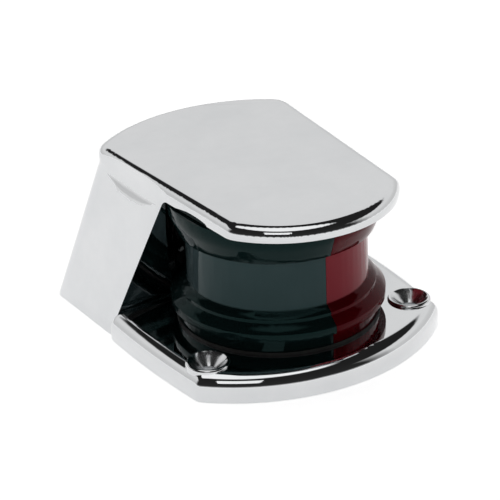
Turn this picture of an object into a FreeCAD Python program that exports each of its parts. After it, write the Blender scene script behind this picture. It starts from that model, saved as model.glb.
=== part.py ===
import FreeCAD, Part
import Sketcher
import math
import os
import re

# Deck-mounted two-colour bow light: a chrome-plated zinc casting holds a spool-shaped lens made of
# a green starboard half and a red port half, lit by one double-contact bayonet lamp.
# Millimetres. The origin is on the deck plane, halfway between the two deck screw holes; -Y is forward
# and +X is to port. Sizes are measured from the lens's axis, and node() moves each sub-part to the origin.

SIZES = {
    # Allowances: how far cutters run past a face, sizes beyond the whole part, and clearances between pieces
    "past": 1.0,
    "tall": 60.0,
    "wide": 120.0,
    "slip": 0.05,
    "snug": 0.02,
    # Hood: three cross-sections, at the deck, at the lip's lower edge and at the roof
    "foot_front_half": 41.2,
    "foot_front_y": -17.0,
    "foot_front_apex": -32.0,
    "foot_rear_half": 43.1,
    "foot_rear_y": 61.8,
    "foot_rear_apex": 66.8,
    "foot_front_corner_r": 5.0,
    "foot_rear_corner_r": 5.5,
    "lip_front_half": 28.3,
    "lip_front_y": -21.6,
    "lip_front_apex": -37.3,
    "lip_rear_half": 32.8,
    "lip_rear_y": 47.2,
    "lip_rear_apex": 59.2,
    "lip_front_corner_r": 6.7,
    "lip_rear_corner_r": 7.2,
    "lip_z": 46.2,
    "roof_front_half": 28.6,
    "roof_front_y": -21.9,
    "roof_front_apex": -37.6,
    "roof_rear_half": 33.1,
    "roof_rear_y": 47.5,
    "roof_rear_apex": 59.5,
    "roof_front_corner_r": 7.0,
    "roof_rear_corner_r": 7.5,
    "roof_axis_z": 50.6,
    "roof_fall": -0.01,
    "roof_edge_r": 2.8,
    "wall": 2.7,
    # Shallow ellipsoidal scoop in the top of each side wall, under the roof's edge
    "scoop_y": 27.0,
    "scoop_z": 49.5,
    "scoop_stand_off": 3.1,
    "scoop_half_width": 4.0,
    "scoop_half_length": 28.5,
    "scoop_half_height": 9.1,
    # Bulkhead behind the lens, which leans forward as it rises, and the round bay for the lens
    "bulkhead_foot_y": 26.8,
    "bulkhead_lean": 0.345,
    "bulkhead_wall": 3.0,
    "bulkhead_head_r": 2.4,
    "bay_r": 31.7,
    "bay_wall": 2.5,
    "lens_recess_r": 27.6,
    "roof_plate": 2.4,
    "hollow_crown": 1.4,
    "least_corner_r": 1.0,
    # Base flange
    "base_front_half": 41.0,
    "base_front_y": -23.0,
    "base_front_apex": -39.6,
    "base_mid_half": 43.2,
    "base_mid_y": 2.3,
    "base_rear_half": 43.4,
    "base_rear_y": 25.7,
    "base_top": 8.0,
    "base_corner_r": 3.0,
    "base_shoulder_r": 4.0,
    "base_rim": 5.0,
    "base_corner_pull": 0.6,
    "base_plate": 2.6,
    "base_hollow_rear_y": 18.0,
    "holder_hole_r": 21.0,
    # Deck screws: number 10 countersunk, 82 degree head
    "deck_screw_x": 34.2,
    "deck_screw_y": -17.6,
    "deck_hole_r": 2.6,
    "deck_sink_r": 5.5,
    "deck_sink_slope": 0.8693,
    "deck_boss_r": 7.2,
    "deck_rim_r": 6.4,
    "deck_rim_rise": 0.8,
    "deck_rim_round": 0.7,
    "deck_rim_post": 3.0,
    # Lens: a spool turned about the lamp's axis, in two halves
    "lens_foot_r": 29.5,
    "lens_foot_z": 8.8,
    "flange_low_z": 12.9,
    "flange_r": 31.4,
    "flange_top_z": 15.2,
    "step_r": 28.7,
    "step_low_z": 17.5,
    "step_top_z": 18.5,
    "band_r": 26.4,
    "band_low_z": 20.2,
    "band_top_z": 34.8,
    "rim_edge_r": 28.9,
    "rim_face_z": 42.3,
    "rim_r": 31.2,
    "rim_low_z": 36.2,
    "rim_top_z": 45.6,
    "lens_wall": 2.2,
    "seal_overhang": 0.3,
    "seal_width": 7.9,
    "roof_seal_r": 28.2,
    "roof_seal_bore_r": 24.6,
    "lug_radius": 25.2,
    "lug_r": 3.0,
    "lug_top_z": 15.5,
    "lug_cap": 1.0,
    "lug_angle": 38.0,
    # Screws that clamp lens, base plate and lamp holder plate together
    "screw_r": 1.5,
    "screw_hole_r": 1.7,
    "screw_head_r": 2.8,
    "screw_head": 1.9,
    "drive_width": 0.8,
    "drive_depth": 0.8,
    "screw_tip_z": 14.0,
    # Lamp holder
    "plate_r": 28.6,
    "plate_thick": 1.4,
    "socket_bore_r": 7.75,
    "socket_wall": 0.6,
    "socket_low_z": 1.0,
    "socket_top_z": 16.2,
    "socket_lip_r": 12.8,
    "socket_lip": 0.7,
    "slot_width": 2.4,
    "slot_floor_z": 9.4,
    "slot_turn": 24.0,
    "rivet_r": 1.1,
    "rivet_head_r": 1.9,
    "rivet_head": 0.7,
    "rivet_radius": 10.6,
    "carrier_low_z": 1.1,
    "carrier_top_z": 4.0,
    "carrier_floor": 0.5,
    "contact_x": 3.3,
    "plunger_r": 1.35,
    "plunger_length": 2.2,
    "plunger_gap": 0.05,
    "spring_coil_r": 1.1,
    "spring_wire_r": 0.15,
    "spring_turns": 3.5,
    "tag_width": 3.0,
    "tag_thick": 0.5,
    "tag_length": 17.0,
    "tag_stud_r": 0.55,
    "tag_eye_r": 0.8,
    # Lamp: double-contact bayonet, 16 mm by 35 mm
    "cap_r": 7.5,
    "cap_low_z": 6.2,
    "cap_top_z": 18.2,
    "cap_wall": 0.4,
    "cap_lip": 0.3,
    "cap_mouth_r": 6.2,
    "pin_z": 12.6,
    "pin_r": 1.0,
    "pin_reach": 8.75,
    "pin_root_r": 0.8,
    "button_r": 1.6,
    "button_rise": 0.5,
    "button_length": 2.1,
    "insulator": 2.2,
    "insulator_rise": 0.3,
    "bulb_r": 8.0,
    "bulb_top_z": 41.0,
    "bulb_wall": 0.6,
    "bulb_neck": 3.0,
    "bulb_shoulder": 1.0,
    "bulb_floor_thick": 0.8,
    "filament_z": 29.5,
    "filament_half": 2.6,
    "filament_coil_r": 0.55,
    "filament_wire_r": 0.11,
    "filament_turns": 7.0,
    "filament_clear": 0.6,
    "support_r": 0.25,
    "support_x": 1.6,
    "support_foot": 5.0,
    "support_bend": 0.5,
    "stem_r": 2.6,
    "stem_top_r": 2.1,
    "stem_top_z": 22.5,
    # Light divider between the two colours
    "divider_thick": 1.2,
    "divider_front_gap": 0.5,
    "divider_back_y": -9.5,
    "divider_low_z": 19.0,
    "divider_top_z": 40.0,
    "divider_foot_y": -19.2,
    "divider_foot_length": 5.0,
    "divider_foot_width": 8.0,
}

doc = FreeCAD.newDocument("BowLight")
sheet = doc.addObject("Spreadsheet::Sheet", "Sizes")
NODES = {}


def fill_sheet():
    for row, (alias, value) in enumerate(SIZES.items(), start=1):
        sheet.set(f"A{row}", alias)
        sheet.set(f"B{row}", str(value))
        sheet.setAlias(f"B{row}", alias)
    doc.recompute()


def size(alias):
    return float(sheet.get(alias))


def bind(obj, **expressions):
    """Ties each named property to an expression whose words are the sheet's aliases."""
    for prop, text in expressions.items():
        linked = re.sub(r"[a-z_]+", lambda word: f"Sizes.{word[0]}" if word[0] in SIZES else word[0], text)
        obj.setExpression(prop.replace("__", "."), linked)
    return obj


def node(name, obj):
    """Registers a finished sub-part and moves it from the lens's axis to the part's own origin."""
    obj.Label = name
    bind(obj, Placement__Base__y="-deck_screw_y")
    NODES[name] = obj
    return obj


def cylinder(name, radius, height, x="0", y="0", z="0"):
    obj = doc.addObject("Part::Cylinder", name)
    bind(obj, Radius=radius, Height=height, Placement__Base__x=x, Placement__Base__y=y, Placement__Base__z=z)
    return obj


def cone(name, radius_low, radius_top, height, x="0", y="0", z="0"):
    obj = doc.addObject("Part::Cone", name)
    bind(obj, Radius1=radius_low, Radius2=radius_top, Height=height)
    bind(obj, Placement__Base__x=x, Placement__Base__y=y, Placement__Base__z=z)
    return obj


def box(name, length, width, height, x="0", y="0", z="0"):
    obj = doc.addObject("Part::Box", name)
    bind(obj, Length=length, Width=width, Height=height)
    bind(obj, Placement__Base__x=x, Placement__Base__y=y, Placement__Base__z=z)
    return obj


def cut(name, base, *tools):
    tool = tools[0] if len(tools) == 1 else fuse(name + "_tools", *tools)
    obj = doc.addObject("Part::Cut", name)
    obj.Base = base
    obj.Tool = tool
    return obj


def fuse(name, *shapes):
    obj = doc.addObject("Part::MultiFuse", name)
    obj.Shapes = list(shapes)
    return obj


def common(name, *shapes):
    obj = doc.addObject("Part::MultiCommon", name)
    obj.Shapes = list(shapes)
    return obj


def round_edges(name, base, radius, chosen):
    """Part::Fillet of one radius on the edges of base that chosen() accepts."""
    doc.recompute()
    obj = doc.addObject("Part::Fillet", name)
    obj.Base = base
    picked = [i for i, edge in enumerate(base.Shape.Edges, start=1) if chosen(edge)]
    if not picked:
        raise RuntimeError(f"{name}: no edge to round")
    obj.Edges = [(i, radius, radius) for i in picked]
    return obj


def bow_radius(half, sag):
    """Radius of the arc over a chord of the given half length and sagitta."""
    return (half * half + sag * sag) / (2 * sag)


def corner_arc(start, end, centre, arc_r, corner_r):
    """Rounds the corner at 'end' between the straight start-end and an arc about centre.

    Returns the tangent point on the straight, the corner's centre and the tangent point on the arc."""
    ux, uy = end[0] - start[0], end[1] - start[1]
    length = math.hypot(ux, uy)
    ux, uy = ux / length, uy / length
    inward = -1.0 if start[0] > 0 else 1.0
    nx, ny = (uy, -ux) if uy * inward > 0 else (-uy, ux)
    px, py = start[0] + nx * corner_r, start[1] + ny * corner_r
    reach = arc_r - corner_r
    dx, dy = px - centre[0], py - centre[1]
    along = dx * ux + dy * uy
    root = math.sqrt(along * along - (dx * dx + dy * dy - reach * reach))
    travel = root - along
    cx, cy = px + ux * travel, py + uy * travel
    foot = (cx - nx * corner_r, cy - ny * corner_r)
    grow = arc_r / reach
    touch = (centre[0] + (cx - centre[0]) * grow, centre[1] + (cy - centre[1]) * grow)
    return foot, (cx, cy), touch


def mid_on_circle(centre, a, b):
    """The point halfway along the short arc from a to b about centre."""
    mx, my = (a[0] + b[0]) / 2 - centre[0], (a[1] + b[1]) / 2 - centre[1]
    radius = math.hypot(a[0] - centre[0], a[1] - centre[1])
    scale = radius / math.hypot(mx, my)
    return (centre[0] + mx * scale, centre[1] + my * scale)


def hood_outline(name, level, inset=0.0, z=0.0, fall=0.0):
    """Sketch of the hood in plan: straight sides, bowed front and rear, four rounded corners."""
    front_half = size(level + "_front_half") - inset
    front_y = size(level + "_front_y") + inset
    front_apex = size(level + "_front_apex") + inset
    rear_half = size(level + "_rear_half") - inset
    rear_y = size(level + "_rear_y") - inset
    rear_apex = size(level + "_rear_apex") - inset
    front_r = bow_radius(front_half, front_y - front_apex)
    rear_r = bow_radius(rear_half, rear_apex - rear_y)
    front_centre = (0.0, front_apex + front_r)
    rear_centre = (0.0, rear_apex - rear_r)
    least = size("least_corner_r")
    front_corner = max(size(level + "_front_corner_r") - inset, least)
    rear_corner = max(size(level + "_rear_corner_r") - inset, least)
    port_front, port_rear = (front_half, front_y), (rear_half, rear_y)
    low, low_c, low_arc = corner_arc(port_rear, port_front, front_centre, front_r, front_corner)
    top, top_c, top_arc = corner_arc(port_front, port_rear, rear_centre, rear_r, rear_corner)

    def mirrored(point):
        return (-point[0], point[1])

    stretches = [
        (low, None, top),
        (top, mid_on_circle(top_c, top, top_arc), top_arc),
        (top_arc, (0.0, rear_apex), mirrored(top_arc)),
        (mirrored(top_arc), mirrored(mid_on_circle(top_c, top, top_arc)), mirrored(top)),
        (mirrored(top), None, mirrored(low)),
        (mirrored(low), mirrored(mid_on_circle(low_c, low, low_arc)), mirrored(low_arc)),
        (mirrored(low_arc), (0.0, front_apex), low_arc),
        (low_arc, mid_on_circle(low_c, low, low_arc), low),
    ]
    return plan_sketch(name, stretches, z, fall)


def plan_sketch(name, stretches, z, fall=0.0):
    """Sketch of a closed outline from (start, middle or None, end) stretches, on a plane at height z."""
    sketch = doc.addObject("Sketcher::SketchObject", name)
    tilt = FreeCAD.Rotation(FreeCAD.Vector(1, 0, 0), -math.degrees(math.atan(fall)))
    sketch.Placement = FreeCAD.Placement(FreeCAD.Vector(0, 0, z), tilt)
    vector = FreeCAD.Vector
    for start, middle, end in stretches:
        first, last = vector(*start, 0), vector(*end, 0)
        if middle is None:
            sketch.addGeometry(Part.LineSegment(first, last), False)
        else:
            sketch.addGeometry(Part.Arc(first, vector(*middle, 0), last), False)
    return sketch


def loft(name, *sections):
    obj = doc.addObject("Part::Loft", name)
    obj.Sections = list(sections)
    obj.Solid = True
    obj.Ruled = True
    return obj


def extrusion(name, profile, height):
    obj = doc.addObject("Part::Extrusion", name)
    obj.Base = profile
    obj.Dir = FreeCAD.Vector(0, 0, 1)
    obj.Solid = True
    bind(obj, LengthFwd=height)
    return obj


def behind_bulkhead(name, setback):
    """Block that holds everything behind the leaning bulkhead, which curls forward into the brow."""
    foot = size("bulkhead_foot_y") + setback
    lean, head_r = size("bulkhead_lean"), size("bulkhead_head_r")
    low, high, reach = -size("past"), size("tall"), size("wide")
    vector = FreeCAD.Vector
    square_on = vector(0, 1, lean).normalize()
    centre_z = size("lip_z") - head_r
    centre = vector(-reach, foot - lean * centre_z - head_r * math.hypot(1, lean), centre_z)
    upward = vector(0, 0, 1)
    curl_start = centre + square_on * head_r
    curl_middle = centre + (square_on + upward).normalize() * head_r
    curl_end = centre + upward * head_r
    sides = [
        vector(-reach, curl_end.y, high),
        vector(-reach, reach, high),
        vector(-reach, reach, low),
        vector(-reach, foot - lean * low, low),
    ]
    curl = Part.Arc(curl_start, curl_middle, curl_end).toShape()
    outline = Part.makePolygon([curl_end] + sides + [curl_start])
    obj = doc.addObject("Part::Feature", name)
    face = Part.Face(Part.Wire([curl] + outline.Edges))
    obj.Shape = face.extrude(vector(2 * reach, 0, 0))
    return obj


def base_outline(name, inset, z):
    """Base flange in plan: bowed front edge, slightly bowed sides, square rear end under the hood."""
    front = (size("base_front_half") - inset, size("base_front_y") + inset * size("base_corner_pull"))
    middle = (size("base_mid_half") - inset, size("base_mid_y"))
    rear = (size("base_rear_half") - inset, size("base_rear_y"))
    apex = (0.0, size("base_front_apex") + inset)
    stretches = [
        (front, middle, rear),
        (rear, None, (-rear[0], rear[1])),
        ((-rear[0], rear[1]), (-middle[0], middle[1]), (-front[0], front[1])),
        ((-front[0], front[1]), apex, front),
    ]
    return plan_sketch(name, stretches, z)


def is_upright(edge):
    rise = edge.BoundBox.ZMax - edge.BoundBox.ZMin
    return rise > size("past") and edge.BoundBox.DiagonalLength - rise < size("snug")


def housing():
    """One-piece casting: rear block, roof with its lip, and base flange, all hollow from below."""
    lip_z, top = size("lip_z"), size("roof_axis_z")
    foot = hood_outline("foot_outline", "foot")
    lip = hood_outline("lip_outline", "lip", z=lip_z)
    roof = hood_outline("roof_outline", "roof", z=top, fall=size("roof_fall"))
    walls = loft("hood_walls", foot, lip)
    bay = cylinder("lens_bay", "bay_r", "lip_z - base_top", z="base_top")
    rear_block = cut("rear_block", common("rear_solid", walls, behind_bulkhead("bulkhead_side", 0.0)), bay)
    brow = loft("brow", lip, roof)

    def on_roof(edge):
        middle = edge.valueAt((edge.FirstParameter + edge.LastParameter) / 2)
        spots = (middle, edge.Vertexes[0].Point)
        return all(abs(spot.z - (top - size("roof_fall") * spot.y)) < size("slip") for spot in spots)

    roof_slab = round_edges("roof_slab", brow, size("roof_edge_r"), on_roof)
    flange = extrusion("base_flange", base_outline("base_outline", 0.0, 0.0), "base_top")
    cornered = round_edges("base_cornered", flange, size("base_corner_r"), is_upright)

    def on_base_top(edge):
        span = edge.BoundBox
        return all(abs(z - size("base_top")) < size("snug") for z in (span.ZMin, span.ZMax))

    shouldered = round_edges("base_shouldered", cornered, size("base_shoulder_r"), on_base_top)
    rims = [sink_rim(side, sign) for side, sign in (("port", 1), ("starboard", -1))]
    solid = fuse("housing_solid", rear_block, roof_slab, shouldered, *rims)
    hollow = cut("housing_hollow", solid, rear_hollow(), roof_recess(), base_hollow())
    bosses = [common(f"deck_boss_{side}", shouldered,
                     cylinder(f"deck_post_{side}", "deck_boss_r", "base_top",
                              x=f"{sign} * deck_screw_x", y="deck_screw_y"))
              for side, sign in (("port", 1), ("starboard", -1))]
    bossed = fuse("housing_bossed", hollow, *bosses)
    scoops = [side_scoop(side, sign) for side, sign in (("port", 1), ("starboard", -1))]
    drilled = cut("housing_drilled", bossed, *housing_holes(), *scoops)
    return node("housing", drilled)


def side_scoop(side, sign):
    """Ellipsoid laid along the lip's straight side, which hollows the wall just under the roof."""
    run = size("lip_rear_y") - size("lip_front_y")
    spread = (size("lip_rear_half") - size("lip_front_half")) / run
    lip_x = size("lip_front_half") + spread * (size("scoop_y") - size("lip_front_y"))
    obj = doc.addObject("Part::Ellipsoid", f"side_scoop_{side}")
    bind(obj, Radius1="scoop_half_height", Radius2="scoop_half_width", Radius3="scoop_half_length")
    centre = FreeCAD.Vector(sign * (lip_x + size("scoop_stand_off")), size("scoop_y"), size("scoop_z"))
    turn = FreeCAD.Rotation(FreeCAD.Vector(0, 0, 1), -sign * math.degrees(math.atan(spread)))
    obj.Placement = FreeCAD.Placement(centre, turn)
    return obj


def sink_rim(side, sign):
    """Raised ring round a deck screw's countersink, with a rounded shoulder."""
    post = cylinder(f"sink_post_{side}", "deck_rim_r", "deck_rim_post + deck_rim_rise",
                    x=f"{sign} * deck_screw_x", y="deck_screw_y", z="base_top - deck_rim_post")
    rim_top = size("base_top") + size("deck_rim_rise")
    return round_edges(f"sink_rim_{side}", post, size("deck_rim_round"),
                       lambda edge: abs(edge.BoundBox.ZMin - rim_top) < size("snug"))


def rear_hollow():
    wall = size("wall")
    low = hood_outline("hollow_low", "foot", inset=wall, z=-size("slip"))
    crown = size("roof_axis_z") - size("roof_plate") - size("hollow_crown")
    high = hood_outline("hollow_high", "lip", inset=wall, z=crown)
    inside = loft("hollow_loft", low, high)
    bay_skin = cylinder("bay_skin", "bay_r + bay_wall", "tall", z="-past")
    rear = common("hollow_rear", inside, behind_bulkhead("hollow_side", size("bulkhead_wall")))
    return cut("rear_hollow", rear, bay_skin)


def roof_recess():
    """Shallow round recess in the roof over the lens, so that the roof is one thickness."""
    plan = hood_outline("recess_outline", "lip", inset=size("wall"), z=size("lip_z") - size("past"))
    return common("roof_recess", extrusion("recess_block", plan, "roof_axis_z - roof_plate - lip_z + past"),
                  cylinder("recess_round", "lens_recess_r", "tall", z="lip_z - past"))


def base_hollow():
    """Underside of the base: open to the deck, leaving the top plate and an outer rim."""
    below, height = -size("past"), "base_top - base_plate + past"
    front = extrusion("base_hollow_front", base_outline("base_hollow_plan", size("base_rim"), below), height)
    foot = hood_outline("base_hollow_foot", "foot", inset=size("base_rim"), z=below)
    rear = common("base_hollow_rear", extrusion("base_hollow_block", foot, height),
                  box("base_hollow_limit", "wide", "wide", "tall", x="-wide / 2", y="base_hollow_rear_y",
                      z="-past"))
    return fuse("base_hollow", front, rear)


def housing_holes():
    tools = [cylinder("holder_hole", "holder_hole_r", "base_top + past * 2", z="-past")]
    for side, sign in (("port", 1), ("starboard", -1)):
        place = {"x": f"{sign} * deck_screw_x", "y": "deck_screw_y"}
        tools.append(cylinder(f"deck_hole_{side}", "deck_hole_r", "base_top + past * 2", z="-past", **place))
        depth = "( deck_sink_r - deck_hole_r ) / deck_sink_slope"
        tools.append(cone(f"deck_sink_{side}", "deck_hole_r", "deck_sink_r", depth,
                          z=f"base_top + deck_rim_rise - {depth}", **place))
        tools.append(cylinder(f"deck_clear_{side}", "deck_sink_r", "past",
                              z="base_top + deck_rim_rise", **place))
    tools += [cylinder(f"clamp_hole_{i}", "screw_hole_r", "base_top + past * 2", x=x, y=y, z="-past")
              for i, (x, y) in enumerate(clamp_points())]
    return tools


def clamp_points():
    """Where the four clamping screws stand, two under each lens half."""
    places = []
    for turn in ("lug_angle", "180 - lug_angle", "180 + lug_angle", "360 - lug_angle"):
        x = f"lug_radius * cos( ( {turn} ) * 1 deg )"
        y = f"lug_radius * sin( ( {turn} ) * 1 deg )"
        places.append((x, y))
    return places


def lens_profile():
    """Radius and height of the lens wall: outside from foot to rim, then back down the inside."""
    wall = size("lens_wall")
    outside = [
        ("lens_foot_r", "lens_foot_z"), ("lens_foot_r", "flange_low_z"), ("flange_r", "flange_low_z"),
        ("flange_r", "flange_top_z"), ("step_r", "step_low_z"), ("step_r", "step_top_z"),
        ("band_r", "band_low_z"), ("band_r", "band_top_z"), ("rim_edge_r", "rim_low_z"),
        ("rim_r", "rim_face_z"), ("rim_r", "rim_top_z"),
    ]
    points = [(size(r), size(z)) for r, z in outside]
    inner = size("band_r") - wall
    points += [
        (inner, size("rim_top_z")),
        (inner, size("band_low_z") - wall),
        (size("step_r") - wall, size("step_low_z") - wall),
        (size("lens_foot_r") - wall, size("flange_low_z") - wall),
        (size("lens_foot_r") - wall, size("lens_foot_z")),
    ]
    return points


def lens_half(name, sign):
    """Half of the spool, 180 degrees of it, with two lugs inside its foot for the clamping screws."""
    sketch = doc.addObject("Sketcher::SketchObject", name + "_profile")
    upright = FreeCAD.Rotation(FreeCAD.Vector(1, 0, 0), 90)
    sketch.Placement = FreeCAD.Placement(FreeCAD.Vector(0, 0, 0), upright)
    points = [FreeCAD.Vector(r, z, 0) for r, z in lens_profile()]
    for first, last in zip(points, points[1:] + points[:1]):
        sketch.addGeometry(Part.LineSegment(first, last), False)
    turned = doc.addObject("Part::Revolution", name + "_turned")
    turned.Source = sketch
    turned.Axis = FreeCAD.Vector(0, 0, 1)
    turned.Angle = 360
    turned.Solid = True
    lugs, pilots = [], []
    for i, (x, y) in enumerate(clamp_points()):
        if (i in (0, 3)) == (sign > 0):
            lugs.append(cylinder(f"{name}_lug_{i}", "lug_r", "lug_top_z - lens_foot_z",
                                 x=x, y=y, z="lens_foot_z"))
            pilots.append(cylinder(f"{name}_pilot_{i}", "screw_r", "lug_top_z - lens_foot_z - lug_cap",
                                   x=x, y=y, z="lens_foot_z"))
    whole = fuse(name + "_whole", turned, *lugs)
    start = "slip" if sign > 0 else "-wide - slip"
    half = common(name + "_half", whole, box(name + "_side", "wide", "wide", "tall", x=start, y="-wide / 2"))
    return node(name, cut(name + "_body", half, *pilots))


def ring(name, outer, inner, height, z):
    return cut(name, cylinder(name + "_disc", outer, height, z=z),
               cylinder(name + "_bore", inner, f"{height} + past * 2", z=f"{z} - past"))


def seals():
    """Flat rubber rings under the lens's foot and on top of its rim."""
    lower = ring("lower_ring", "lens_foot_r + seal_overhang", "lens_foot_r + seal_overhang - seal_width",
                 "lens_foot_z - base_top", "base_top")
    holes = [cylinder(f"seal_hole_{i}", "screw_hole_r", "base_top", x=x, y=y, z="base_top - past")
             for i, (x, y) in enumerate(clamp_points())]
    node("lens_seal", cut("lens_seal_body", lower, *holes))
    node("roof_seal", ring("roof_seal_body", "roof_seal_r", "roof_seal_bore_r", "lip_z - rim_top_z",
                           "rim_top_z"))


def divider():
    """Thin opaque plate ahead of the lamp, which keeps each colour on its own side."""
    plate = box("divider_plate", "divider_thick", "band_r - lens_wall - divider_front_gap + divider_back_y",
                "divider_top_z - divider_low_z", x="-divider_thick / 2",
                y="lens_wall + divider_front_gap - band_r", z="divider_low_z")
    foot = box("divider_foot", "divider_foot_width", "divider_foot_length", "divider_thick",
               x="-divider_foot_width / 2", y="divider_foot_y", z="base_top")
    web = box("divider_web", "divider_thick", "divider_foot_length", "band_low_z - base_top",
              x="-divider_thick / 2", y="divider_foot_y", z="base_top")
    node("light_divider", fuse("divider_body", plate, foot, web))


def clamp_screws():
    """Four pan-head screws up through the holder plate and the base into the lens lugs."""
    screws = []
    head_z = "base_top - base_plate - plate_thick - screw_head"
    for i, (x, y) in enumerate(clamp_points()):
        head = cylinder(f"screw_head_{i}", "screw_head_r", "screw_head", x=x, y=y, z=head_z)
        recess = box(f"screw_slot_{i}", "screw_head_r * 2 + past * 2", "drive_width", "drive_depth + past",
                     x=f"{x} - screw_head_r - past", y=f"{y} - drive_width / 2", z=f"{head_z} - past")
        shank = cylinder(f"screw_shank_{i}", "screw_r", f"screw_tip_z - ( {head_z} ) - screw_head",
                         x=x, y=y, z=f"{head_z} + screw_head")
        screws.append(fuse(f"screw_{i}", cut(f"screw_slotted_{i}", head, recess), shank))
    group = doc.addObject("Part::Compound", "clamp_screws_group")
    group.Links = screws
    node("clamp_screws", group)


def holder_plate():
    """Round plate under the base that carries the lamp holder, made as a PartDesign body."""
    body = doc.addObject("PartDesign::Body", "holder_plate_body")
    plane = next(f for f in body.Origin.OriginFeatures if f.Role == "XY_Plane")
    disc = body.newObject("Sketcher::SketchObject", "plate_disc")
    disc.AttachmentSupport = [(plane, "")]
    disc.MapMode = "FlatFace"
    disc.addGeometry(Part.Circle(FreeCAD.Vector(), FreeCAD.Vector(0, 0, 1), size("plate_r")), False)
    disc.addConstraint(Sketcher.Constraint("Coincident", 0, 3, -1, 1))
    disc.addConstraint(Sketcher.Constraint("Radius", 0, size("plate_r")))
    disc.setExpression("Constraints[1]", "Sizes.plate_r")
    pad = body.newObject("PartDesign::Pad", "plate_pad")
    pad.Profile = disc
    pad.setExpression("Length", "Sizes.plate_thick")
    doc.recompute()
    solid_volume = pad.Shape.Volume
    holes = body.newObject("Sketcher::SketchObject", "plate_holes")
    holes.AttachmentSupport = [(plane, "")]
    holes.MapMode = "FlatFace"
    places = [(0.0, 0.0, size("socket_bore_r") + size("socket_wall") + size("slip"))]
    for quarter in (0, 1, 2, 3):
        turn = math.radians((quarter // 2) * 180 + (1 if quarter % 2 == 0 else -1) * size("lug_angle"))
        places.append((size("lug_radius") * math.cos(turn), size("lug_radius") * math.sin(turn),
                       size("screw_hole_r")))
    for side in (-1, 1):
        places.append((side * size("rivet_radius"), 0.0, size("rivet_r")))
    for x, y, radius in places:
        holes.addGeometry(Part.Circle(FreeCAD.Vector(x, y, 0), FreeCAD.Vector(0, 0, 1), radius), False)
    pocket = body.newObject("PartDesign::Pocket", "plate_pocket")
    pocket.Profile = holes
    pocket.Type = "ThroughAll"
    pocket.Midplane = True
    doc.recompute()
    if pocket.Shape.Volume >= solid_volume:
        raise RuntimeError("holder plate: the holes cut nothing")
    bind(body, Placement__Base__z="base_top - base_plate - plate_thick")
    node("holder_plate", body)


def socket_shell():
    """Brass bayonet sleeve with a rolled lip and two J-shaped slots, and the rivets that hold its lip."""
    sleeve = cylinder("sleeve", "socket_bore_r + socket_wall", "socket_top_z - socket_low_z",
                      z="socket_low_z")
    lip_z = "base_top - base_plate"
    lip = cylinder("socket_lip", "socket_lip_r", "socket_lip", z=lip_z)
    bore = cylinder("socket_bore", "socket_bore_r", "tall", z="-past")
    tools = [bore]
    for side, facing in (("front", 0.0), ("rear", 180.0)):
        tools += bayonet_slot(side, facing)
    holes = [cylinder(f"lip_hole_{i}", "rivet_r", "socket_lip + past * 2", x=f"{sign} * rivet_radius",
                      z=f"{lip_z} - past")
             for i, sign in enumerate((-1, 1))]
    node("socket_shell", cut("socket_shell_body", fuse("socket_blank", sleeve, lip), *tools, *holes))
    rivets = []
    for i, sign in enumerate((-1, 1)):
        x = f"{sign} * rivet_radius"
        shank = cylinder(f"rivet_shank_{i}", "rivet_r", "plate_thick + socket_lip", x=x,
                         z=f"{lip_z} - plate_thick")
        upper = cone(f"rivet_upper_{i}", "rivet_head_r", "rivet_r", "rivet_head", x=x,
                     z=f"{lip_z} + socket_lip")
        lower = cone(f"rivet_lower_{i}", "rivet_r", "rivet_head_r", "rivet_head", x=x,
                     z=f"{lip_z} - plate_thick - rivet_head")
        rivets.append(fuse(f"rivet_{i}", shank, upper, lower))
    group = doc.addObject("Part::Compound", "socket_rivets_group")
    group.Links = rivets
    node("socket_rivets", group)


def bayonet_slot(side, facing):
    """Entry run down from the sleeve's rim, a turn at the bottom, and the notch that locks the pin."""
    inner = size("socket_bore_r") - size("past")
    outer = size("socket_bore_r") + size("socket_wall") + size("past")
    width, floor = size("slot_width"), size("slot_floor_z")
    half_turn = math.degrees(width / 2 / size("socket_bore_r"))
    turn = size("slot_turn")
    top = size("socket_top_z") + size("past")
    notch_top = size("pin_z") + size("pin_r") + 2 * size("slip")
    runs = [
        ("entry", -turn - half_turn, -turn + half_turn, floor, top),
        ("track", -turn - half_turn, half_turn, floor, floor + width),
        ("notch", -half_turn, half_turn, floor, notch_top),
    ]
    tools = []
    for run, start, end, low, high in runs:
        obj = doc.addObject("Part::Feature", f"slot_{run}_{side}")
        foot, upward = FreeCAD.Vector(0, 0, low), FreeCAD.Vector(0, 0, 1)
        wedge = Part.makeCylinder(outer, high - low, foot, upward, end - start)
        core = Part.makeCylinder(inner, high - low, foot)
        obj.Shape = wedge.cut(core)
        obj.Placement = FreeCAD.Placement(FreeCAD.Vector(), FreeCAD.Vector(0, 0, 1), facing - 90 + start)
        tools.append(obj)
    return tools


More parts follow.
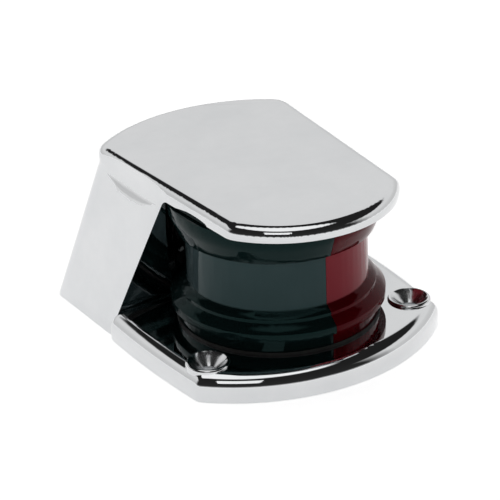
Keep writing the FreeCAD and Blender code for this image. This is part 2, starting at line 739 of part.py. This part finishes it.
def contacts():
    """Insulating carrier in the sleeve's foot, two sprung plungers in it, and their solder tags."""
    carrier = cylinder("carrier_disc", "socket_bore_r - snug", "carrier_top_z - carrier_low_z",
                       z="carrier_low_z")
    bores, plungers, tags = [], [], []
    floor = "carrier_low_z + carrier_floor"
    head_z = "cap_low_z - button_rise - plunger_gap - plunger_length"
    for i, sign in enumerate((-1, 1)):
        x = f"{sign} * contact_x"
        bores.append(cylinder(f"plunger_bore_{i}", "plunger_r + slip", "tall", x=x, z=floor))
        bores.append(cylinder(f"tag_hole_{i}", "tag_stud_r + slip", "tall", x=x, z="-past"))
        plungers.append(cylinder(f"plunger_{i}", "plunger_r", "plunger_length", x=x, z=head_z))
        tag = box(f"tag_plate_{i}", "tag_width", "tag_length", "tag_thick", x=f"{x} - tag_width / 2",
                  y="-tag_width / 2", z="carrier_low_z - tag_thick - slip * 2")
        stud = cylinder(f"tag_stud_{i}", "tag_stud_r", "carrier_floor + slip * 2", x=x,
                        z="carrier_low_z - slip * 2")
        eye = cylinder(f"tag_eye_{i}", "tag_eye_r", "carrier_low_z + past", x=x, y="tag_length - tag_width",
                       z="-past")
        tags.append(cut(f"tag_{i}", fuse(f"tag_blank_{i}", tag, stud), eye))
    node("contact_carrier", cut("contact_carrier_body", carrier, *bores))
    for name, members in (("contact_plungers", plungers), ("solder_tags", tags)):
        group = doc.addObject("Part::Compound", name + "_group")
        group.Links = members
        node(name, group)
    node("contact_springs", springs())


def springs():
    """Two small coil springs that push the plungers up against the lamp."""
    low = size("carrier_low_z") + size("carrier_floor") + size("snug")
    wire, coil = size("spring_wire_r"), size("spring_coil_r")
    under = size("cap_low_z") - size("button_rise") - size("plunger_gap") - size("plunger_length")
    height = under - low - 2 * wire - 2 * size("snug")
    shapes = []
    for sign in (-1, 1):
        helix = Part.makeHelix(height / size("spring_turns"), height, coil - wire)
        helix.translate(FreeCAD.Vector(sign * size("contact_x"), 0, low + wire))
        start = helix.Edges[0].valueAt(helix.Edges[0].FirstParameter)
        section = Part.Wire(Part.makeCircle(wire, start, FreeCAD.Vector(0, 1, 0)))
        shapes.append(Part.Wire(helix.Edges).makePipeShell([section], True, True))
    obj = doc.addObject("Part::Feature", "contact_springs_group")
    obj.Shape = Part.makeCompound(shapes)
    return obj


def lamp():
    """Bayonet lamp: brass cap with two side pins, insulator with two solder buttons, glass and filament."""
    shell = cylinder("cap_shell", "cap_r", "cap_top_z - cap_low_z", z="cap_low_z")
    inside = cylinder("cap_inside", "cap_r - cap_wall", "cap_top_z - cap_low_z", z="cap_low_z + cap_lip")
    mouth = cylinder("cap_mouth", "cap_mouth_r", "cap_lip + past * 2", z="cap_low_z - past")
    pin_holes = cylinder("cap_pin_hole", "pin_root_r", "cap_r * 4", z="pin_z")
    pin_holes.Placement = FreeCAD.Placement(FreeCAD.Vector(), FreeCAD.Vector(1, 0, 0), 90)
    bind(pin_holes, Placement__Base__y="cap_r * 2", Placement__Base__z="pin_z")
    node("lamp_cap", cut("lamp_cap_body", shell, inside, mouth, pin_holes))
    pins = []
    for i, sign in enumerate((-1, 1)):
        pin = cylinder(f"pin_{i}", "pin_r", "pin_reach - cap_r")
        root = cylinder(f"pin_root_{i}", "pin_root_r", "cap_wall")
        for piece, start in ((pin, "cap_r"), (root, "cap_r - cap_wall")):
            piece.Placement = FreeCAD.Placement(FreeCAD.Vector(), FreeCAD.Vector(1, 0, 0), -90 * sign)
            bind(piece, Placement__Base__y=f"{sign} * ( {start} )", Placement__Base__z="pin_z")
        pins.append(fuse(f"pin_whole_{i}", pin, root))
    group = doc.addObject("Part::Compound", "lamp_pins_group")
    group.Links = pins
    node("lamp_pins", group)
    insulator = cylinder("cap_insulator", "cap_r - cap_wall - snug", "insulator",
                         z="cap_low_z + cap_lip + snug")
    nose = cylinder("cap_insulator_nose", "cap_mouth_r - slip", "cap_lip + snug + insulator_rise",
                    z="cap_low_z - insulator_rise")
    wells = [cylinder(f"button_well_{i}", "button_r", "insulator + past * 3", x=f"{sign} * contact_x",
                      z="cap_low_z - past")
             for i, sign in enumerate((-1, 1))]
    node("lamp_insulator", cut("lamp_insulator_body", fuse("insulator_blank", insulator, nose), *wells))
    buttons = doc.addObject("Part::Compound", "lamp_buttons_group")
    buttons.Links = [cylinder(f"button_{i}", "button_r", "button_length", x=f"{sign} * contact_x",
                              z="cap_low_z - button_rise") for i, sign in enumerate((-1, 1))]
    node("lamp_buttons", buttons)
    bulb()


def bulb():
    """Glass envelope with a domed top, the glass stem inside it, support wires and coiled filament."""
    dome_z = "bulb_top_z - bulb_r"
    neck_z = "cap_top_z - bulb_neck"

    def envelope(name, shrink):
        shoulder_z = f"cap_top_z + bulb_shoulder + {shrink}"
        column = cylinder(name + "_column", f"bulb_r - {shrink}", f"{dome_z} - ( {shoulder_z} )",
                          z=shoulder_z)
        neck = cylinder(name + "_neck", f"cap_r - cap_wall - snug - {shrink}",
                        f"bulb_neck + bulb_shoulder * 1.2 + {shrink}", z=neck_z)
        dome = doc.addObject("Part::Sphere", name + "_dome")
        bind(dome, Radius=f"bulb_r - {shrink}", Placement__Base__z=dome_z)
        return fuse(name, column, neck, dome)

    floor = cylinder("bulb_floor", "cap_r - cap_wall - snug", "bulb_floor_thick", z=neck_z)
    hollow = cut("bulb_hollow", envelope("bulb_outer", "0"), envelope("bulb_inner", "bulb_wall"))
    wire_holes = [cylinder(f"wire_hole_{i}", "support_r + snug", "bulb_neck * 2", x=f"{sign} * support_x",
                           z=f"{neck_z} - past")
                  for i, sign in enumerate((-1, 1))]
    node("lamp_glass", cut("lamp_glass_body", fuse("bulb_closed", hollow, floor), *wire_holes))
    stem_z = f"{neck_z} + bulb_floor_thick"
    stem = cone("stem_cone", "stem_r", "stem_top_r", f"stem_top_z - ( {stem_z} )", z=stem_z)
    stem_holes = [cylinder(f"stem_hole_{i}", "support_r + snug", "tall", x=f"{sign} * support_x", z=neck_z)
                  for i, sign in enumerate((-1, 1))]
    node("lamp_stem", cut("lamp_stem_body", stem, *stem_holes))
    node("filament_supports", support_wires())
    node("filament", filament_coil())


def support_wires():
    """Two wires up from the cap through the stem, leaning out to the filament's ends."""
    vector = FreeCAD.Vector
    radius, top = size("support_r"), size("filament_z")
    foot, bend = size("cap_top_z") - size("support_foot"), size("stem_top_z") + size("support_bend")
    near, far = size("support_x"), size("filament_half") + size("filament_clear")
    shapes = []
    for sign in (-1, 1):
        path = [vector(sign * near, 0, foot), vector(sign * near, 0, bend), vector(sign * far, 0, top)]
        rods = [Part.makeCylinder(radius, (b - a).Length, a, b - a) for a, b in zip(path, path[1:])]
        rods.append(Part.makeSphere(radius, path[1]))
        shapes.append(rods[0].fuse(rods[1:]).removeSplitter())
    obj = doc.addObject("Part::Feature", "filament_supports_group")
    obj.Shape = Part.makeCompound(shapes)
    return obj


def filament_coil():
    vector = FreeCAD.Vector
    half, wire = size("filament_half"), size("filament_wire_r")
    helix = Part.makeHelix(2 * half / size("filament_turns"), 2 * half, size("filament_coil_r"))
    section = Part.Wire(Part.makeCircle(wire, vector(size("filament_coil_r"), 0, 0), vector(0, 1, 0)))
    coil = Part.Wire(helix.Edges).makePipeShell([section], True, True)
    coil.translate(vector(0, 0, -half))
    coil.rotate(vector(), vector(0, 1, 0), 90)
    coil.translate(vector(0, 0, size("filament_z")))
    obj = doc.addObject("Part::Feature", "filament_group")
    obj.Shape = coil
    return obj


def check_document():
    doc.recompute()
    for obj in doc.Objects:
        if {"Invalid", "Error"} & set(obj.State):
            raise RuntimeError(f"{obj.Name} failed: {obj.State}")
    for name, obj in NODES.items():
        shape = obj.Shape
        if shape.isNull() or not shape.isValid() or not shape.Solids:
            raise RuntimeError(f"{name}: bad shape")
        box_ = shape.BoundBox
        print(f"{name}: {len(shape.Solids)} solid(s), {shape.Volume:.1f} mm3, "
              f"z {box_.ZMin:.2f} to {box_.ZMax:.2f}")


def export_nodes():
    os.makedirs("parts", exist_ok=True)
    for name, obj in NODES.items():
        obj.Shape.exportStep(f"parts/{name}.step")


fill_sheet()
housing()
lens_half("starboard_lens", -1)
lens_half("port_lens", 1)
seals()
divider()
holder_plate()
clamp_screws()
socket_shell()
contacts()
lamp()
check_document()
export_nodes()
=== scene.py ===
import math

import bpy
from mathutils import Matrix, Vector


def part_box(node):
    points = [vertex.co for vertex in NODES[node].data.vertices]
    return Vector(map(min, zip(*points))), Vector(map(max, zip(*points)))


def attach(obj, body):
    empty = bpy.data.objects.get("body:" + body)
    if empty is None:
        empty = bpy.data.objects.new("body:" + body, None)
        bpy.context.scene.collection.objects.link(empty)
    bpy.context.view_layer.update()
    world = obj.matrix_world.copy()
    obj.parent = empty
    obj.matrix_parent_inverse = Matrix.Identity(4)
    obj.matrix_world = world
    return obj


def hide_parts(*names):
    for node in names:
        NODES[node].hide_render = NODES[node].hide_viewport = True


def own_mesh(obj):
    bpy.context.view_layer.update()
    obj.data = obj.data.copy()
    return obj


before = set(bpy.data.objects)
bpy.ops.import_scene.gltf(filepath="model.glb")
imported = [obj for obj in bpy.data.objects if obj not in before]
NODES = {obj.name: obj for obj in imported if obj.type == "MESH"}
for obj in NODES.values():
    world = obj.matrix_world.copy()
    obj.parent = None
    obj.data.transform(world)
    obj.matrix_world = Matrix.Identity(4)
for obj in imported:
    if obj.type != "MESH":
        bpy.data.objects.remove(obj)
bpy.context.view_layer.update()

MM = 0.001

# The lamp's own axis, through the middle of the lamp cap; the camera's aim is given from its foot
cap_low, cap_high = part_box("lamp_cap")
AXIS = Vector(((cap_low.x + cap_high.x) / 2, (cap_low.y + cap_high.y) / 2, 0.0))

# The deck screws' countersinks: distance from the middle, and the radii over which their roughness fades out
SCREW_X = 34.2 * MM
SINK_R = (4.6 * MM, 5.8 * MM)
SINK_ROUGHNESS = 0.22

# The lens's thin-walled band: its lower and upper height, and the height over which its colour turns to the
# darker rim and foot colour, which is partly painted shade
LENS_BAND = (20.0 * MM, 36.0 * MM)
BAND_FADE = 0.6 * MM

# Edge rounding: its widths, the angle above which an edge gets it, its steps, and the gap welded first
LENS_ROUNDING = 0.5 * MM
CASTING_ROUNDING = 0.35 * MM
SHARP_ANGLE = math.radians(30.0)
ROUNDING_STEPS = 3
WELD_GAP = 0.002 * MM

# The floor, in metres, and how much it glows
FLOOR_REACH = 4.0
FLOOR_GREY = 0.92
FLOOR_GLOW = 0.69

# The room, as (height, grey) pairs from the horizon up: pale walls, a dark near side, a soft light overhead
FAR_WALLS = [(0.0, 1.0), (0.10, 0.74), (0.30, 0.82), (0.42, 0.93), (0.56, 0.93), (0.60, 0.02)]
NEAR_SIDE = [(0.0, 0.50), (0.06, 0.30), (0.14, 0.03)]
OVERHEAD = [(0.90, 0.02), (0.93, 1.3)]
NEAR_DIRECTION = (-0.50, -0.86, 0.0)
NEAR_FADE = 0.35

# The camera: direction and roll in degrees, distance in metres, its aim from the foot of AXIS, and its lens
VIEW_AZIMUTH, VIEW_ELEVATION, VIEW_ROLL = -30.19, 25.90, -2.16
VIEW_DISTANCE = 0.660
VIEW_AIM = Vector((-1.17, 13.39, 21.51)) * MM
VIEW_LENS = 161.15
SENSOR_WIDTH = 36.0
VIEW_CLIP = (0.01, 20.0)


def new_material(name):
    """An empty node material, with its tree and its main shader."""
    material = bpy.data.materials.new(name)
    material.use_nodes = True
    tree = material.node_tree
    return material, tree, tree.nodes["Principled BSDF"]


def add(tree, kind, **inputs):
    """A node with some of its inputs set, by socket name with _ for blanks."""
    made = tree.nodes.new(kind)
    for key, value in inputs.items():
        made.inputs[key.replace("_", " ")].default_value = value
    return made


def link(tree, source, output, target, socket):
    tree.links.new(source.outputs[output], target.inputs[socket])


def feed(tree, source, target, socket):
    """Links a node's first output."""
    link(tree, source, 0, target, socket)


def placed(tree, stretch=(1.0, 1.0, 1.0)):
    """Object coordinates, stretched along each axis."""
    coords = add(tree, "ShaderNodeTexCoord")
    mapping = add(tree, "ShaderNodeMapping", Scale=stretch)
    link(tree, coords, "Object", mapping, "Vector")
    return mapping


def position(tree):
    """Object coordinates, split into X, Y and Z."""
    parts = add(tree, "ShaderNodeSeparateXYZ")
    link(tree, add(tree, "ShaderNodeTexCoord"), "Object", parts, "Vector")
    return parts


def spread(tree, source, output, begin, end, low, high):
    """Maps a value from begin..end to low..high, clamped."""
    made = add(tree, "ShaderNodeMapRange", From_Min=begin, From_Max=end, To_Min=low, To_Max=high)
    link(tree, source, output, made, "Value")
    return made


def vary(tree, coords, scale, low, high, detail=6.0, begin=0.35, end=0.65):
    """Noise at a given scale (per metre), mapped to the range from low to high."""
    noise = add(tree, "ShaderNodeTexNoise", Scale=scale, Detail=detail, Roughness=0.6)
    link(tree, coords, "Vector", noise, "Vector")
    return spread(tree, noise, "Fac", begin, end, low, high)


def colour_mix(tree, factor):
    """A colour mix driven by factor: its two colour inputs and its result."""
    mix = add(tree, "ShaderNodeMix")
    mix.data_type = "RGBA"
    feed(tree, factor, mix, "Factor")
    first, second = (socket for socket in mix.inputs if socket.type == "RGBA")
    result = next(socket for socket in mix.outputs if socket.type == "RGBA")
    return first, second, result


def tint(tree, shader, factor, first_colour, second_colour):
    """Base colour that goes from the first colour to the second with factor."""
    first, second, result = colour_mix(tree, factor)
    first.default_value = (*first_colour, 1)
    second.default_value = (*second_colour, 1)
    tree.links.new(result, shader.inputs["Base Color"])


def bump(tree, shader, height, strength, distance, under=None):
    """Fine relief on the shader's normal, on top of the relief under it if there is one."""
    made = add(tree, "ShaderNodeBump", Strength=strength, Distance=distance)
    feed(tree, height, made, "Height")
    if under:
        link(tree, under, "Normal", made, "Normal")
    link(tree, made, "Normal", shader, "Normal")
    return made


def joined(tree, operation, first, second):
    """One value from two, by a Math node's operation."""
    made = add(tree, "ShaderNodeMath")
    made.operation = operation
    feed(tree, first, made, 0)
    feed(tree, second, made, 1)
    return made


def screw_seats(tree):
    """Roughness of the two countersinks, which are plated but not polished."""
    parts = position(tree)
    across = add(tree, "ShaderNodeMath")
    across.operation = "ABSOLUTE"
    link(tree, parts, "X", across, "Value")
    folded = add(tree, "ShaderNodeCombineXYZ")
    link(tree, across, "Value", folded, "X")
    link(tree, parts, "Y", folded, "Y")
    reach = add(tree, "ShaderNodeVectorMath")
    reach.operation = "DISTANCE"
    link(tree, folded, "Vector", reach, "Vector")
    reach.inputs[1].default_value = (SCREW_X, 0.0, 0.0)
    return spread(tree, reach, "Value", *SINK_R, SINK_ROUGHNESS, 0.0)


def chrome_material():
    """Bright chrome plate over polished zinc: a faint casting ripple, polishing haze and fine hairlines."""
    material, tree, shader = new_material("chrome_plate")
    shader.inputs["Metallic"].default_value = 1.0
    coords = placed(tree)
    tint(tree, shader, vary(tree, coords, 45.0, 0.0, 1.0), (0.625, 0.635, 0.645), (0.665, 0.672, 0.68))
    haze = vary(tree, coords, 160.0, 0.018, 0.05)
    hairlines = vary(tree, placed(tree, (1.0, 26.0, 1.0)), 420.0, 0.0, 0.045, begin=0.62, end=0.78)
    worn = joined(tree, "ADD", haze, hairlines)
    feed(tree, joined(tree, "MAXIMUM", worn, screw_seats(tree)), shader, "Roughness")
    ripple = bump(tree, shader, vary(tree, coords, 70.0, 0.0, 1.0, detail=1.0), 0.05, 0.0002)
    bump(tree, shader, vary(tree, coords, 1500.0, 0.0, 1.0, detail=3.0), 0.015, 0.00003, under=ripple)
    return material


def lens_material(name, thick_and_shaded, thin, gleam):
    """Moulded acrylic, paler at the thin-walled middle band and darker at the rim and foot: partly the
    deeper colour of thicker acrylic, partly painted shade of the rim under the hood's lip and of the foot
    down by the dark base.
    """
    material, tree, shader = new_material(name)
    coords = placed(tree)
    parts = position(tree)
    low_z, high_z = LENS_BAND
    above = spread(tree, parts, "Z", low_z, low_z + BAND_FADE, 0.0, 1.0)
    below = spread(tree, parts, "Z", high_z - BAND_FADE, high_z, 1.0, 0.0)
    band = joined(tree, "MULTIPLY", above, below)
    cloud = vary(tree, coords, 40.0, 0.85, 1.0, detail=2.0)
    # Painted shade: outside the band the rim and foot take the darker colour, which stands partly for shade
    # there and partly for thicker acrylic
    tint(tree, shader, joined(tree, "MULTIPLY", band, cloud), thick_and_shaded, thin)
    shader.inputs["Transmission Weight"].default_value = 0.2
    shader.inputs["IOR"].default_value = 1.46
    shader.inputs["Specular IOR Level"].default_value = 0.07
    shader.inputs["Specular Tint"].default_value = (*gleam, 1)
    sheen = vary(tree, coords, 130.0, 0.02, 0.06)
    marks = vary(tree, placed(tree, (1.0, 1.0, 14.0)), 300.0, 0.0, 0.05, begin=0.62, end=0.8)
    feed(tree, joined(tree, "ADD", sheen, marks), shader, "Roughness")
    bump(tree, shader, vary(tree, coords, 95.0, 0.0, 1.0, detail=1.5), 0.05, 0.0003)
    return material


def worked_material(name, first, second, metallic, roughness, scale=400.0, relief=0.08, stretch=(1, 1, 1)):
    """Colour, roughness and surface grain that all vary at the scale of the material's own working."""
    material, tree, shader = new_material(name)
    coords = placed(tree, stretch)
    tint(tree, shader, vary(tree, coords, scale / 4, 0.0, 1.0), first, second)
    shader.inputs["Metallic"].default_value = metallic
    feed(tree, vary(tree, coords, scale, *roughness), shader, "Roughness")
    bump(tree, shader, vary(tree, coords, scale * 4, 0.0, 1.0), relief, 0.00008)
    return material


def glass_material():
    """The bulb's clear blown glass, very slightly wavy."""
    material, tree, shader = new_material("bulb_glass")
    shader.inputs["Transmission Weight"].default_value = 1.0
    shader.inputs["IOR"].default_value = 1.5
    coords = placed(tree)
    feed(tree, vary(tree, coords, 200.0, 0.0, 0.02), shader, "Roughness")
    bump(tree, shader, vary(tree, coords, 80.0, 0.0, 1.0, detail=1.0), 0.04, 0.0003)
    return material


def paint_nodes():
    """Makes every material and gives each node its own."""
    chrome = chrome_material()
    # The darker first colour of each lens holds painted shade besides the deeper tone of thick acrylic
    green = lens_material("green_lens", thick_and_shaded=(0.004, 0.011, 0.011), thin=(0.044, 0.066, 0.070),
                          gleam=(0.35, 0.8, 0.78))
    red = lens_material("red_lens", thick_and_shaded=(0.065, 0.001, 0.003), thin=(0.23, 0.028, 0.038),
                        gleam=(0.95, 0.2, 0.25))
    rubber = worked_material("black_rubber", (0.010, 0.010, 0.010), (0.022, 0.022, 0.021), 0.0, (0.6, 0.85))
    plastic = worked_material("black_plastic", (0.010, 0.010, 0.011), (0.02, 0.02, 0.02), 0.0, (0.35, 0.55),
                              scale=900.0)
    sheet = worked_material("aluminium_sheet", (0.60, 0.61, 0.62), (0.70, 0.70, 0.71), 1.0, (0.25, 0.45),
                            scale=500.0, relief=0.15, stretch=(1, 12, 1))
    steel = worked_material("stainless", (0.52, 0.52, 0.51), (0.62, 0.62, 0.60), 1.0, (0.18, 0.35),
                            scale=700.0)
    brass = worked_material("brass", (0.62, 0.42, 0.17), (0.80, 0.60, 0.30), 1.0, (0.2, 0.45), scale=350.0)
    phenolic = worked_material("phenolic", (0.12, 0.05, 0.02), (0.20, 0.09, 0.04), 0.0, (0.45, 0.7),
                               scale=800.0, relief=0.2, stretch=(1, 1, 8))
    solder = worked_material("solder", (0.42, 0.42, 0.43), (0.58, 0.58, 0.58), 1.0, (0.25, 0.5), scale=900.0)
    wire = worked_material("nickel_wire", (0.50, 0.49, 0.46), (0.60, 0.58, 0.55), 1.0, (0.2, 0.35),
                           scale=1500.0)
    tungsten = worked_material("tungsten", (0.20, 0.20, 0.21), (0.32, 0.32, 0.33), 1.0, (0.3, 0.5),
                               scale=2500.0)
    glass = glass_material()
    looks = {
        "housing": chrome, "starboard_lens": green, "port_lens": red,
        "lens_seal": rubber, "roof_seal": rubber, "light_divider": plastic,
        "holder_plate": sheet, "clamp_screws": steel, "socket_shell": brass, "socket_rivets": sheet,
        "contact_carrier": phenolic, "contact_plungers": brass, "contact_springs": steel,
        "solder_tags": solder, "lamp_cap": brass, "lamp_pins": brass, "lamp_insulator": plastic,
        "lamp_buttons": solder, "lamp_glass": glass, "lamp_stem": glass,
        "filament_supports": wire, "filament": tungsten,
    }
    for node, material in looks.items():
        mesh = NODES[node].data
        mesh.materials.clear()
        mesh.materials.append(material)


def spring_coils():
    """The contact springs, which on the real lamp shorten as the plungers are pushed in; here a still copy
    of them sits on the root body and the model's own springs are hidden.
    """
    piece = bpy.data.objects.new("spring_coils", NODES["contact_springs"].data.copy())
    bpy.context.scene.collection.objects.link(piece)
    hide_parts("contact_springs")
    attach(piece, "root")
    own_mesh(piece)


def soften(node, width):
    """Moulded or cast edges: a small rounding on every edge that is sharp enough."""
    obj = NODES[node]
    weld = obj.modifiers.new("weld", "WELD")
    weld.merge_threshold = WELD_GAP
    bevel = obj.modifiers.new("edge_round", "BEVEL")
    bevel.width = width
    bevel.segments = ROUNDING_STEPS
    bevel.limit_method = "ANGLE"
    bevel.angle_limit = SHARP_ANGLE
    bevel.harden_normals = True


def floor():
    """A wide pale floor at deck level, which glows a little."""
    corners = [(x * FLOOR_REACH, y * FLOOR_REACH, 0) for x, y in ((-1, -1), (1, -1), (1, 1), (-1, 1))]
    mesh = bpy.data.meshes.new("studio_floor")
    mesh.from_pydata(corners, [], [(0, 1, 2, 3)])
    obj = bpy.data.objects.new("studio_floor", mesh)
    bpy.context.scene.collection.objects.link(obj)
    material, tree, shader = new_material("pale_floor")
    shader.inputs["Base Color"].default_value = (FLOOR_GREY, FLOOR_GREY, FLOOR_GREY, 1)
    shader.inputs["Roughness"].default_value = 0.9
    shader.inputs["Emission Color"].default_value = (1, 1, 1, 1)
    shader.inputs["Emission Strength"].default_value = FLOOR_GLOW
    mesh.materials.append(material)


def height_ramp(tree, split, levels):
    """Grey that changes with a direction's height, from (height, grey) pairs."""
    ramp = tree.nodes.new("ShaderNodeValToRGB")
    stops = ramp.color_ramp.elements
    for spare in list(stops)[1:]:
        stops.remove(spare)
    for i, (place, grey) in enumerate(levels):
        stop = stops.new(place) if i else stops[0]
        stop.position = place
        stop.color = (grey, grey, grey, 1)
    link(tree, split, "Z", ramp, "Fac")
    return ramp


def studio_world():
    """Pale low walls behind, a dark room in front, dark above both, and a broad soft light overhead."""
    world = bpy.data.worlds.new("studio")
    bpy.context.scene.world = world
    world.use_nodes = True
    tree = world.node_tree
    coords = add(tree, "ShaderNodeTexCoord")
    split = add(tree, "ShaderNodeSeparateXYZ")
    link(tree, coords, "Generated", split, "Vector")
    facing = add(tree, "ShaderNodeVectorMath")
    facing.operation = "DOT_PRODUCT"
    link(tree, coords, "Generated", facing, "Vector")
    facing.inputs[1].default_value = NEAR_DIRECTION
    first, second, result = colour_mix(tree, spread(tree, facing, "Value", 0.0, NEAR_FADE, 0.0, 1.0))
    tree.links.new(height_ramp(tree, split, FAR_WALLS + OVERHEAD).outputs["Color"], first)
    tree.links.new(height_ramp(tree, split, NEAR_SIDE + OVERHEAD).outputs["Color"], second)
    tree.links.new(result, tree.nodes["Background"].inputs["Color"])


def soft_light(name, place, size, power, target):
    """A rectangular lamp at place, turned towards target."""
    light = bpy.data.lights.new(name, "AREA")
    light.shape = "RECTANGLE"
    light.size, light.size_y = size
    light.energy = power
    obj = bpy.data.objects.new(name, light)
    bpy.context.scene.collection.objects.link(obj)
    obj.location = place
    obj.rotation_euler = (Vector(target) - Vector(place)).to_track_quat("-Z", "Y").to_euler()


def camera():
    """The main view. Azimuth 0 looks from the bow, and a positive one from the port side."""
    azimuth, elevation, roll = (math.radians(turn) for turn in (VIEW_AZIMUTH, VIEW_ELEVATION, VIEW_ROLL))
    back = Vector((math.sin(azimuth) * math.cos(elevation), -math.cos(azimuth) * math.cos(elevation),
                   math.sin(elevation)))
    level = Vector((math.cos(azimuth), math.sin(azimuth), 0))
    right = math.cos(roll) * level + math.sin(roll) * back.cross(level)
    data = bpy.data.cameras.new("camera")
    data.lens = VIEW_LENS
    data.sensor_width = SENSOR_WIDTH
    data.clip_start, data.clip_end = VIEW_CLIP
    obj = bpy.data.objects.new("camera", data)
    bpy.context.scene.collection.objects.link(obj)
    basis = Matrix((right, back.cross(right), back)).transposed().to_4x4()
    basis.translation = AXIS + VIEW_AIM + back * VIEW_DISTANCE
    obj.matrix_world = basis
    bpy.context.scene.camera = obj


bpy.context.scene.view_settings.view_transform = "Standard"
camera()
paint_nodes()
spring_coils()
for lens in ("starboard_lens", "port_lens"):
    soften(lens, LENS_ROUNDING)
soften("housing", CASTING_ROUNDING)
floor()
studio_world()
soft_light("key", place=(-0.6, -0.8, 0.9), size=(0.5, 0.5), power=1.0, target=(0, 0.03, 0.02))
